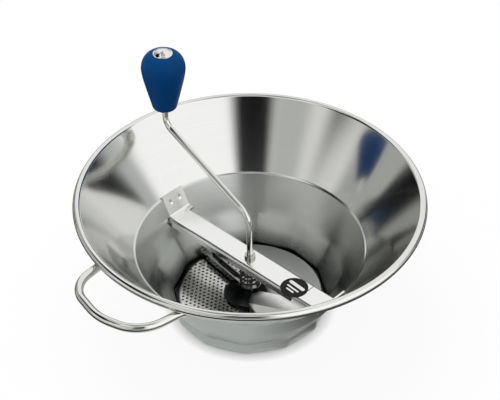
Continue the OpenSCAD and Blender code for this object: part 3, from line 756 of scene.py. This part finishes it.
def foot_radius(angle, flat):
    """Radius of a twelve-sided figure with rounded corners, whose flats lie at a distance."""
    off_corner = abs((angle - math.radians(FOOT_TURN) + half_side) % (2 * half_side) - half_side)
    centre = (flat - CORNER_ROUND) / math.cos(half_side)
    reach = math.atan2(CORNER_ROUND * math.sin(half_side), centre + CORNER_ROUND * math.cos(half_side))
    if off_corner > reach:
        return flat / math.cos(half_side - off_corner)
    sideways = centre * math.sin(off_corner)
    return centre * math.cos(off_corner) + math.sqrt(CORNER_ROUND ** 2 - sideways ** 2)


corner_r = foot_radius(math.radians(FOOT_TURN), foot_flat)
print("foot, mm to a flat and to a rounded corner:", round(foot_flat, 1), "and", round(corner_r, 1))

# %% [markdown]
# Above the foot each flat leans out in a long shallow wedge until it runs out into the cone.
# The section follows the sheet's inner face: the flange, the foot, the wedge, the cone, the
# ledge, the upper cone and the bead.

# %% Bowl: section of the sheet
WEDGE_TOP = 38.0        # height where the wedges above the flats have run out into the cone
FOOT_BENDS = [1.6, 5.0, 120.0]  # radii at the flange, at the foot's top and at the wedge's top
LEDGE_RUN = 0.35        # the ledge's outer fold lies this share of its width up the upper cone
LEDGE_BENDS = [2.0, 1.5]
BEAD_END = -165         # degrees, where the rolled edge almost meets the wall again
BEAD_STEPS = 24


def bowl_line(angle):
    """The sheet's inner face in one direction, from the flange up and round the bead."""
    foot = foot_radius(angle, foot_flat - SHEET)
    line = rounded([(foot_flat - SHEET - FLANGE, SHEET), (foot, SHEET), (foot, FOOT_H),
                    (cone_radius(WEDGE_TOP), WEDGE_TOP), (STEP_R, STEP_Z)], FOOT_BENDS)[:-1]
    on_bead = arc(bead, BEAD_R, math.degrees(upper_slope) + 90, BEAD_END, BEAD_STEPS)
    ledge = [(cone_radius(STEP_Z - LEDGE / 2), STEP_Z - LEDGE / 2),
             (STEP_R + (1 + LEDGE_RUN) * LEDGE, STEP_Z + LEDGE_RUN * LEDGE * math.tan(upper_slope))]
    line += rounded([line[-1], *ledge, on_bead[0]], LEDGE_BENDS)[1:-1]
    return line + on_bead


print("points along the sheet:", len(bowl_line(0)))

# %% [markdown]
# The skin goes over one section per direction. The bead is polished by the rolling, and the
# inside of the lower cone is duller and carries painted shade, near black low down, so those
# faces get finishes of their own.

# %% Bowl: skin and finishes
COLUMNS_PER_SIDE = 16
ON_BEAD, IN_WELL = 1, 2  # places of the two further finishes, after the bowl's first one
BEAD_MARGIN = 0.1

rings = []
for column in range(SIDES * COLUMNS_PER_SIDE):
    angle = math.radians(FOOT_TURN) + 2 * half_side * column / COLUMNS_PER_SIDE
    section = thickened(bowl_line(angle), SHEET)
    rings.append([(r * math.cos(angle), r * math.sin(angle), z) for r, z in section])
bowl = finish_piece("bowl_sheet", skin(rings, rings_meet=True), "bowl", bowl_steel, "bowl_steel", "bowl")
bowl.data.materials.append(rod_steel)
bowl.data.materials.append(well_steel_painted_shade)
for face in bowl.data.polygons:
    x, y, z = face.center / MM
    if math.hypot(math.hypot(x, y) - bead.x, z - bead.y) < BEAD_R + BEAD_MARGIN:
        face.material_index = ON_BEAD
    # faces inside the lower cone get the finish with painted shade low down
    elif z < STEP_Z and face.normal.x * x + face.normal.y * y < 0:
        face.material_index = IN_WELL

# %% [markdown]
# The loop handle is one polished rod, bent level and welded under the rim by its two ends.
# Its line is a few corners with their bend radii. A weld leaves a swelling where the rod
# meets the wall, so the rod's radius grows a little over its last millimetres.

# %% Loop handle
ROD_R = 3.75
HANDLE_Z = 115.1
HANDLE_BENDS = (          # places in the level plane, seen from above, and the bend radius at each
    (-37.6, -140.5, 0), (-34.5, -178.5, 26), (8.0, -188.5, 46), (46.5, -178.0, 34), (53.9, -136.0, 0))
WELD_SWELL, WELD_LENGTH = 1.1, 3.5
ROD_STEP = 1.2


def spaced(line, step):
    """The same line with its points about a step apart."""
    points = []
    for here, there in zip(line, line[1:]):
        parts = max(1, round((there - here).length / step))
        points += [here.lerp(there, i / parts) for i in range(parts)]
    return points + [line[-1]]


def level_rod(line, radius_at, sides=24):
    """A round rod along a level line. radius_at gives its radius at a distance from the nearer end."""
    lengths = [0.0]
    for here, there in zip(line, line[1:]):
        lengths.append(lengths[-1] + (there - here).length)
    rings = []
    for i, point in enumerate(line):
        along = (line[min(i + 1, len(line) - 1)] - line[max(i - 1, 0)]).normalized()
        across = Vector((along.y, -along.x, 0))
        radius = radius_at(min(lengths[i], lengths[-1] - lengths[i]))
        ring = [point + (across * math.cos(t) + up * math.sin(t)) * radius for t in round_turns(sides)]
        rings.append(ring)
    return skin(rings, caps=True)


corners = [(x, y, HANDLE_Z) for x, y, _ in HANDLE_BENDS]
line = spaced(rounded(corners, [radius for _, _, radius in HANDLE_BENDS[1:-1]], steps=12), ROD_STEP)
shape = level_rod(line, lambda reach: ROD_R + WELD_SWELL * math.exp(-(reach / WELD_LENGTH) ** 2))
finish_piece("handle_rod", shape, "bowl", rod_steel, "handle_steel", "loop_handle")
print("handle rod, mm:", round(sum((b - a).length for a, b in zip(line, line[1:]))))

# %% [markdown]
# The knob is moulded in one piece, with a bore for the end of the crank. Its flank is a
# straight draft that swells into a round shoulder, and a lathe section with two smooth curves
# gives it without a crease. A hollow in its top takes the plug of the cap.

# %% Knob
KNOB_FOOT_R, KNOB_BORE_R, KNOB_FOOT_ROUND = 11.0, 3.06, 2.5
FLANK_START = (1.2, 6)    # where the flank heads from the foot's edge, outwards and up
FLANK_PULL = (5.6, 0.55)  # outwards from the foot's edge, and share of the widest place's height
WIDEST = 0.74             # height of the widest place, as a share of the knob's
UPRIGHT_FROM = 0.86       # share of that height where the flank is pulled upright
SHOULDER_DROP = 6.5       # how far below the top the shoulder is pulled inwards
SHOULDER_PULL = (0.76, 0.6)  # share of the widest radius, and how far below the top
CAP_R = 8.25
CAP_MARGIN = 0.6          # flat ring round the cap
HOLLOW_IN, HOLLOW_DEPTH = 1.45, 7.3  # the hollow for the plug, inside the cap's edge


def curve(start, pull_a, pull_b, end, steps=14):
    """A smooth curve from start to end, pulled towards two points on its way."""
    points = []
    for i in range(steps + 1):
        t = i / steps
        points.append(Vector(start) * (1 - t) ** 3 + Vector(pull_a) * 3 * t * (1 - t) ** 2
                      + Vector(pull_b) * 3 * t * t * (1 - t) + Vector(end) * t ** 3)
    return points


low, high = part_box("knob")
knob_centre = middle("knob").xy
knob_foot, knob_top = low.z / MM, high.z / MM
knob_h, knob_r = knob_top - knob_foot, (high.x - low.x) / 2 / MM
swell = WIDEST * knob_h
hollow_r, hollow_z = CAP_R - HOLLOW_IN, knob_h - HOLLOW_DEPTH

flank_foot = rounded([(KNOB_BORE_R, 0), (KNOB_FOOT_R, 0), (KNOB_FOOT_R + FLANK_START[0], FLANK_START[1])],
                     [KNOB_FOOT_ROUND])[:-1]
flank = curve(flank_foot[-1], (KNOB_FOOT_R + FLANK_PULL[0], FLANK_PULL[1] * swell),
              (knob_r, UPRIGHT_FROM * swell), (knob_r, swell))
shoulder = curve((knob_r, swell), (knob_r, knob_h - SHOULDER_DROP),
                 (SHOULDER_PULL[0] * knob_r, knob_h - SHOULDER_PULL[1]), (CAP_R + CAP_MARGIN, knob_h))
section = flank_foot + flank[1:] + shoulder[1:]
section += [Vector((hollow_r, knob_h)), Vector((hollow_r, hollow_z)), Vector((KNOB_BORE_R, hollow_z))]
shape = turned([(r, z + knob_foot) for r, z in section], knob_centre)
finish_piece("knob_grip", shape, "knob", knob_blue, "knob_blue", "knob", crease=50)

# %% [markdown]
# The bright cap is a pressed dome with a small brim, and its plug snaps into the knob. It is
# a lathe section too: the dome from the middle outwards, the brim, and the plug below it.

# %% Cap
CAP_H, CAP_SEAT = 4.0, 0.05
DOME_SIDE = (0.55, 0.93)  # share of the cap's radius, and share of its height
BRIM_IN, BRIM_Z, BRIM_T = 0.93, 0.9, 0.7  # where the dome meets the brim, and the brim's edge
PLUG_IN, PLUG_DRAFT, PLUG_H = 1.5, 0.05, 3
CAP_BENDS = [14.0, 6.0, 0.25, 0.3, 0.1]

seat = knob_top + CAP_SEAT
section = rounded([
    (0, seat + CAP_H), (DOME_SIDE[0] * CAP_R, seat + DOME_SIDE[1] * CAP_H),
    (BRIM_IN * CAP_R, seat + BRIM_Z), (CAP_R, seat + BRIM_T), (CAP_R, seat),
    (CAP_R - PLUG_IN, seat), (CAP_R - PLUG_IN - PLUG_DRAFT, seat - PLUG_H)], CAP_BENDS)
shape = turned(section + [Vector((0, seat - PLUG_H))], knob_centre)
finish_piece("bright_cap", shape, "knob", chrome, "cap_chrome", "knob_cap", crease=50)

# %% [markdown]
# The spring is drawn wire, 1.8 mm thick, wound in five and a half turns. The end turns are
# closed, which means wound flat, so that it stands square. Its height follows a formula: slow
# at the ends, steady in the middle. It shortens as the impeller floats.

# %% Spring
WIRE_D = 1.8
COILS = 5.5
CLOSED_TURN = 0.75      # how much of a turn is closed at each end
CLOSED_PITCH = 1.05     # rise of a closed turn, as a share of the wire's thickness
WIRE_SIDES, RINGS_PER_COIL = 12, 40
low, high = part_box("spring")
coil_r = high.x / MM - WIRE_D / 2
base, top = low.z / MM + WIRE_D / 2, high.z / MM - WIRE_D / 2


def coil_height(t):
    """Share of the spring's height at share t of its wire, with closed end turns."""
    closed = CLOSED_TURN / COILS
    rise = min(max((t - closed) / (1 - 2 * closed), 0), 1)
    flat = CLOSED_PITCH * WIRE_D * CLOSED_TURN / (top - base)
    return flat * min(t / closed, 1) + flat * max((t - 1 + closed) / closed, 0) + (1 - 2 * flat) * rise


rings = []
count = int(COILS * RINGS_PER_COIL)
for i in range(count + 1):
    turn = 2 * math.pi * i / RINGS_PER_COIL
    z = base + (top - base) * coil_height(i / count)
    ring = []
    for around in round_turns(WIRE_SIDES):
        r = coil_r + WIRE_D / 2 * math.cos(around)
        ring.append((r * math.cos(turn), r * math.sin(turn), z + WIRE_D / 2 * math.sin(around)))
    rings.append(ring)
spring = new_object("coil_spring", skin(rings, caps=True), spring_steel)
spring.data.shade_smooth()
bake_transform(spring)
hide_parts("spring")
print("spring wire, mm:", round(count * 2 * math.pi * coil_r / RINGS_PER_COIL))

# %% [markdown]
# Each bracket is a strip of sheet, spot-welded flat against the wall and folded into a shelf
# over the bar's end. The weld leaves two round dimples, and the shelf's edge has a notch. The
# plate is a fine grid of points, so that the dimples can be pressed into it. The lug that
# stops the bar below the shelf is left to the solid.

# %% Brackets
PLATE_T = 1.5
PLATE_SIDES = (-9.5, 15.5)  # the plate's two ends along the wall, from the bar's middle
PLATE_TOP, SHELF_X, SHELF_Z = 71.3, 87.0, 54.3
PLATE_ROWS, PLATE_COLUMNS = 22, 50
FOLD_R, FOLD_STEPS = 1.2, 5
DIMPLES = ((-2.5, 0.42), (8.5, 0.42))  # along the wall, and share of the way down the plate
DIMPLE_R, DIMPLE_DEPTH = 2.3, 0.35
NOTCH = (1.0, 6.5, 2.6)     # its two ends along the shelf, and its depth
WALL_CLEAR = 0.35


def dimple_depth(y, z, middles):
    """How deep a place on the plate is pressed in by the weld dimples."""
    depth = 0
    for along, height in middles:
        away = math.hypot(y - along, z - height) / DIMPLE_R
        if away < 1:
            depth += DIMPLE_DEPTH * (0.5 + 0.5 * math.cos(math.pi * away))
    return depth


def bracket_sheet(turned_by):
    """One bracket, for the bar's -X end, turned about the mill's axis."""
    side = max(abs(s) for s in PLATE_SIDES)
    off_wall = WALL_CLEAR + cone_radius(SHELF_Z) - math.sqrt(cone_radius(SHELF_Z) ** 2 - side ** 2)
    fold = Vector((off_wall - cone_radius(SHELF_Z), SHELF_Z))
    top = Vector((off_wall - cone_radius(PLATE_TOP), PLATE_TOP))
    section = rounded([top, fold, (-SHELF_X, SHELF_Z)], [FOLD_R], steps=FOLD_STEPS)
    line = [section[0].lerp(section[1], i / PLATE_ROWS) for i in range(PLATE_ROWS)] + section[1:]
    to_wall = Vector((fold.y - top.y, top.x - fold.x)).normalized()
    middles = [(along, top.lerp(fold, share).y) for along, share in DIMPLES]
    rows = []
    for j in range(PLATE_COLUMNS + 1):
        y = PLATE_SIDES[0] + (PLATE_SIDES[1] - PLATE_SIDES[0]) * j / PLATE_COLUMNS
        row = []
        for i, (x, z) in enumerate(thickened(line, PLATE_T)):
            press = dimple_depth(y, z, middles)
            if i in (len(line) - 1, len(line)) and NOTCH[0] <= y <= NOTCH[1]:
                x -= NOTCH[2]
            row.append((x + to_wall.x * press, y, z + to_wall.y * press))
        rows.append(row)
    shape = skin(rows, caps=True)
    bmesh.ops.rotate(shape, verts=shape.verts, cent=(0, 0, 0), matrix=Matrix.Rotation(turned_by, 3, "Z"))
    return shape


left, right = bracket_sheet(0), bracket_sheet(math.pi)
finish_piece("wall_bracket_left", left, "bowl", sheet_steel, "bar_steel", "bracket_left")
finish_piece("wall_bracket_right", right, "bowl", sheet_steel, "bar_steel", "bracket_right")

# %% [markdown]
# The round label is printed film. It carries no words here, only a plain bar with two thin
# ones under it, as flat rounded strips a hair above the film.

# %% Marks on the label
INK_LIFT, INK_T = 0.02, 0.05
MARKS = ((3.4, 18.0, 3.6), (-1.8, 14.0, 1.7), (-5.4, 9.0, 1.7))  # place across, length, width
LABEL_TURN = math.radians(-4)
label_centre = middle("round_label")
ink_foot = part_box("round_label")[1].z / MM + INK_LIFT


def rounded_bar(place, length, width, steps=10):
    """Outline of a strip with round ends, in the label's plane."""
    right = arc((length / 2 - width / 2, place), width / 2, -90, 90, steps)
    left = arc((width / 2 - length / 2, place), width / 2, 90, 270, steps)
    return right + left


marks = bmesh.new()
for place, length, width in MARKS:
    outline = [Matrix.Rotation(LABEL_TURN, 2) @ p for p in rounded_bar(place, length, width)]
    rings = [[(label_centre.x + p.x, label_centre.y + p.y, z) for p in outline]
             for z in (ink_foot, ink_foot + INK_T)]
    strip = skin(rings, caps=True)
    held = bpy.data.meshes.new("strip")
    strip.to_mesh(held)
    strip.free()
    marks.from_mesh(held)
    bpy.data.meshes.remove(held)
finish_piece("label_marks", marks, "crossbar", white_ink, "label")
